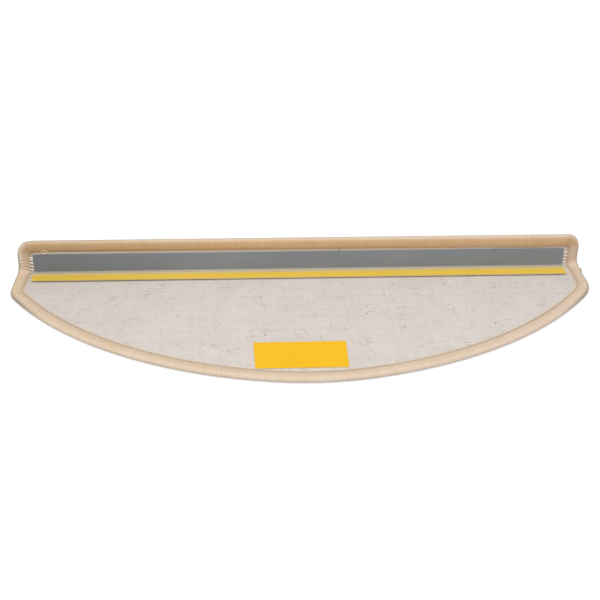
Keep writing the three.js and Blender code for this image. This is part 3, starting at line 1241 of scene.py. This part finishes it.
def add_stitch(bm, pattern, x, s, angle, reach):
    """Copies the ball, draws it out into a loop and lays it down from the seam inward."""
    verts = new_verts(bmesh.ops.duplicate(bm, geom=pattern))
    at_end = reach == side_reach
    rise = profile_face if at_end else 0
    radius = end_stitch_radius if at_end else stitch_radius
    for vert in verts:
        inward = (1 - vert.co.x) / 2
        thick = radius * (outer_thickness + (1 - outer_thickness) * inward)
        level = vert.co.z * thick + rise * inward + sunk_in * thick
        vert.co = Vector((-inward * reach, vert.co.y * thick, level))
    bmesh.ops.rotate(bm, cent=(0, 0, 0), matrix=Matrix.Rotation(angle, 3, "Z"), verts=verts)
    bmesh.ops.translate(bm, vec=(x, s, backing), verts=verts)


print(f"loops reach {tread_reach / mm:.1f} mm on the tread and {side_reach / mm:.1f} mm beside the flap")

# %% Needle stitches
# the corner stitches above these heights sink into the yarn and don't show
left_seam_top = left_end["corner"] - 0.4 * stitch_pitch
right_seam_top = right_end["corner"] + stitch_pitch
# sine of the angle from which the seam counts as the straight run along the top
top_run_facing = 0.98


def make_stitches(name, material, at_ends):
    bm = bmesh.new()
    bmesh.ops.create_uvsphere(bm, u_segments=stitch_sides, v_segments=stitch_rings, radius=1)
    bmesh.ops.rotate(bm, cent=(0, 0, 0), matrix=Matrix.Rotation(math.pi / 2, 3, "Y"), verts=bm.verts)
    pattern = bm.verts[:] + bm.edges[:] + bm.faces[:]
    count = round(edge_length / stitch_pitch)
    made = 0
    for i in range(count):
        x, s, angle = (float(v) for v in edge_at(i / count * edge_length, stitch_start))
        seam_top = left_seam_top if x < 0 else right_seam_top
        in_corner = s > top_level - seam_top and abs(math.sin(angle)) < top_run_facing
        reach = stitch_reach(s)
        if not in_corner and (reach == side_reach) == at_ends:
            add_stitch(bm, pattern, x, s, angle, reach)
            made += 1
    bmesh.ops.delete(bm, geom=new_verts({"geom": pattern}), context="VERTS")
    mesh = finished_mesh(bm, name)
    move_points(mesh, fold(*points_of(mesh).T))
    print(f"{made} loops")
    return add_piece(mesh, material, "binding_yarn")


stitches = make_stitches("needle_stitches", thread_material, at_ends=False)
end_stitches = make_stitches("end_stitches", end_thread_material, at_ends=True)

# %% [markdown]
# A thin chain of the same thread runs along the binding's inner lip and ties the loops together. It is a
# grid rolled into a tube, with its thickness and its line swaying once for each loop, because a bevelled
# curve has the same thickness all along.

# %% Looper chain
chain_radius = 0.45 * mm
chain_inset = binding_width + 1.1 * mm
chain_sway = 0.35 * mm
chain_swell = 0.2
chain_height = 0.6
chain_columns = 6
chain_sides = 6


def make_chain():
    loops = round(edge_length / stitch_pitch)
    mesh = grid("looper_chain", loops * chain_columns, chain_sides)
    flat = points_of(mesh)
    place = np.round(flat[:, 0] * loops * chain_columns) / chain_columns
    around = 2 * math.pi * flat[:, 1]
    thick = chain_radius * (1 - chain_swell + chain_swell * np.cos(4 * math.pi * place))
    inward = chain_inset + chain_sway * np.sin(2 * math.pi * place) - thick * np.cos(around)
    x, s, _ = edge_at(place / loops * edge_length, inward)
    move_points(mesh, fold(x, s, backing + chain_height * chain_radius + thick * np.sin(around)))
    close_seams(mesh)
    return add_piece(mesh, thread_material, "binding_yarn")


chain = make_chain()

# %% [markdown]
# Near the left end of the flap one loop of the needle thread was pulled out of the seam. It lies there as a
# small ring, half on the binding and half on the scrim. A torus would be quite round, and this loop is not,
# so it is rolled from a grid as the chain is.

# %% Slack loop
slack_x = -291 * mm
slack_s = bend_length + 24.6 * mm
slack_height = backing + 1.0 * mm
slack_half_width = 2.9 * mm
slack_half_height = 2.1 * mm
slack_radius = 0.55 * mm
slack_columns = 28


def make_slack_loop():
    mesh = grid("slack_loop", slack_columns, chain_sides)
    flat = points_of(mesh)
    along = 2 * math.pi * flat[:, 0]
    around = 2 * math.pi * flat[:, 1]
    x = slack_x + (slack_half_width + slack_radius * np.cos(around)) * np.cos(along)
    s = slack_s + (slack_half_height + slack_radius * np.cos(around)) * np.sin(along)
    move_points(mesh, fold(x, s, slack_height + slack_radius * np.sin(around)))
    close_seams(mesh)
    return add_piece(mesh, thread_material, "binding_yarn")


slack_loop = make_slack_loop()

# %% [markdown]
# The solids of the angle profile and the adhesive films already have their true shape: plastic and film
# have crisp edges that need no dressing. They only take their materials.

# %% Profile and adhesive
for node, material in (
    ("nose_profile", profile_material),
    ("nose_tape_adhesive", adhesive_material),
    ("rear_tape_adhesive", adhesive_material),
):
    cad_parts[node].data.materials.clear()
    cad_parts[node].data.materials.append(material)
    print(f"{node} wears {material.name}")

# %% [markdown]
# The yellow liners were cut by hand. They are a touch narrower than the adhesive, their edges are not quite
# straight, and they lift a hair in places. A box can't show that, so each is a fine grid that is bent a
# little and then thickened. The edges wander between a few knots, drawn from a seeded generator so that
# they come out the same each time.

# %% Liners
liner_step = 3 * mm
fewest_rows = 4
edge_knots = 16
lift = 0.03 * mm
lift_length = 9 * mm
lift_width = 7 * mm
askew_falloff = 40


def make_liner(name, node, material, turned, seed, wobble, narrower=0, askew=0, taper=0):
    start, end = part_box(node)
    turn = math.radians(turned)
    length = end.x - start.x
    width = end.y - start.y - length * abs(math.sin(turn))
    mesh = grid(name, round(length / liner_step), max(fewest_rows, round(width / liner_step)))
    flat = points_of(mesh)
    along, across = flat[:, 0] - 0.5, flat[:, 1] - 0.5
    chance = np.random.default_rng(seed)
    knots = np.linspace(-0.5, 0.5, edge_knots)
    front, back = (wobble * chance.standard_normal(edge_knots) for _ in range(2))
    edge = np.interp(along, knots, front) * (0.5 - across) + np.interp(along, knots, back) * (0.5 + across)
    x = along * length
    y = across * (width - narrower) - narrower / 2 + edge
    x *= 1 + taper * across / length
    x -= askew * (across + 0.5) * np.clip(0.5 - along, 0, 1) ** askew_falloff
    lifted = lift * np.sin(x / lift_length) * np.cos(y / lift_width)
    x, y = x * math.cos(turn) - y * math.sin(turn), x * math.sin(turn) + y * math.cos(turn)
    middle = (start + end) / 2
    move_points(mesh, np.stack([x + middle.x, y + middle.y, start.z + lifted], axis=1))
    thicken(mesh, end.z - start.z)
    piece = add_piece(mesh, material, "liner", node)
    piece.data.shade_flat()
    return piece


nose_liner = make_liner(
    "nose_liner", "nose_tape_liner", strip_paper,
    turned=0.08, seed=31, wobble=0.18 * mm, narrower=4.4 * mm, askew=2.6 * mm,
)
rear_liner = make_liner(
    "rear_liner", "rear_tape_liner", patch_paper,
    turned=0.1, seed=32, wobble=0.12 * mm, taper=2.5 * mm,
)

# %% [markdown]
# The mat lies on a white studio floor. A floor that is lit until it turns white would also brighten the
# mat. So it is a mid grey that keeps the mat's contact shadow, and a Light Path node gives it a glow for
# the camera and for reflections only, which lifts it to plain white and puts no more light on the mat.

# %% Floor
floor_half_size = 8
floor_drop = 0.2 * mm
floor_colour = (0.45, 0.45, 0.45, 1)
floor_glow = 0.69
white = (1, 1, 1, 1)


def is_seen(tree):
    """1 for rays that come from the camera, from a reflection or through glass."""
    path = add_node(tree, "ShaderNodeLightPath")
    seen = calculate(tree, "MAXIMUM", path.outputs["Is Camera Ray"], path.outputs["Is Glossy Ray"])
    return calculate(tree, "MAXIMUM", seen, path.outputs["Is Transmission Ray"])


def make_floor():
    bm = bmesh.new()
    bmesh.ops.create_grid(bm, x_segments=1, y_segments=1, size=floor_half_size)
    bmesh.ops.translate(bm, vec=(0, 0, -floor_drop), verts=bm.verts)
    mesh = finished_mesh(bm, "floor")
    floor = bpy.data.objects.new("floor", mesh)
    bpy.context.scene.collection.objects.link(floor)
    material, tree, shader = new_material("studio_white", roughness=1.0, specular=0.0)
    shader.inputs["Base Color"].default_value = floor_colour
    glow = add_node(tree, "ShaderNodeEmission", {"Color": white})
    tree.links.new(times(tree, is_seen(tree), floor_glow), glow.inputs["Strength"])
    both = add_node(tree, "ShaderNodeAddShader", {0: shader.outputs[0], 1: glow.outputs[0]})
    tree.links.new(both.outputs[0], tree.nodes["Material Output"].inputs["Surface"])
    mesh.materials.append(material)


make_floor()
print(f"floor {2 * floor_half_size} m wide")

# %% [markdown]
# Most of the light comes from a plain white sky, as in a light tent, at the strength at which a colour
# renders about as it is written. A wide lamp overhead gives the soft contact shadow, and a weak one in
# front keeps the face of the flap from turning dark.

# %% Sky and lamps
sky_strength = 0.575


def make_world(strength):
    world = bpy.data.worlds.new("studio")
    bpy.context.scene.world = world
    world.use_nodes = True
    tree = world.node_tree
    sky = tree.nodes["Background"]
    sky.inputs["Color"].default_value = white
    level = plus(tree, times(tree, is_seen(tree), 1 - strength), strength)
    tree.links.new(level, sky.inputs["Strength"])


def add_lamp(name, place, size, watts):
    """A square lamp that faces the middle of the mat."""
    data = bpy.data.lights.new(name, "AREA")
    data.size = size
    data.energy = watts
    lamp = bpy.data.objects.new(name, data)
    lamp.location = place
    lamp.rotation_euler = (-Vector(place)).to_track_quat("-Z", "Y").to_euler()
    bpy.context.scene.collection.objects.link(lamp)


make_world(sky_strength)
add_lamp("overhead", place=(-0.3, -0.7, 1.9), size=1.4, watts=20)
add_lamp("front", place=(0, -2, 0.5), size=1.2, watts=5)
print("lamps", sorted(light.name for light in bpy.data.lights))

# %% [markdown]
# The camera stands where the photograph was taken from, 1.2 m away and about 28 degrees up. The direction
# was found by fitting the mat's known outline to the photograph, whose frame is 600 pixels wide.

# %% Camera
photo_pixels = 600
focal_pixels = 1083.2
sensor_width = 36
nearest_seen = 0.05
camera_distance = 1.2
camera_height = math.radians(28.278)
camera_yaw = math.radians(-3.37)
camera_roll = math.radians(0.729)
aim = Vector((-4.977 * mm, flap_face - 62.26 * mm, 0))

back = Vector((
    math.sin(camera_yaw) * math.cos(camera_height),
    -math.cos(camera_yaw) * math.cos(camera_height),
    math.sin(camera_height),
))
across = (-back).cross(Vector((0, 0, 1))).normalized()
upward = across.cross(-back)
turned = Matrix.Rotation(camera_roll, 3, back)
basis = Matrix((turned @ across, turned @ upward, back)).transposed().to_4x4()
camera_data = bpy.data.cameras.new("camera")
camera_data.sensor_width = sensor_width
camera_data.lens = focal_pixels / photo_pixels * sensor_width
camera_data.clip_start = nearest_seen
camera = bpy.data.objects.new("camera", camera_data)
camera.matrix_world = Matrix.Translation(aim + camera_distance * back) @ basis
bpy.context.scene.collection.objects.link(camera)
bpy.context.scene.camera = camera
bpy.context.scene.view_settings.view_transform = "Standard"
print("camera at", [round(v, 3) for v in camera.location])
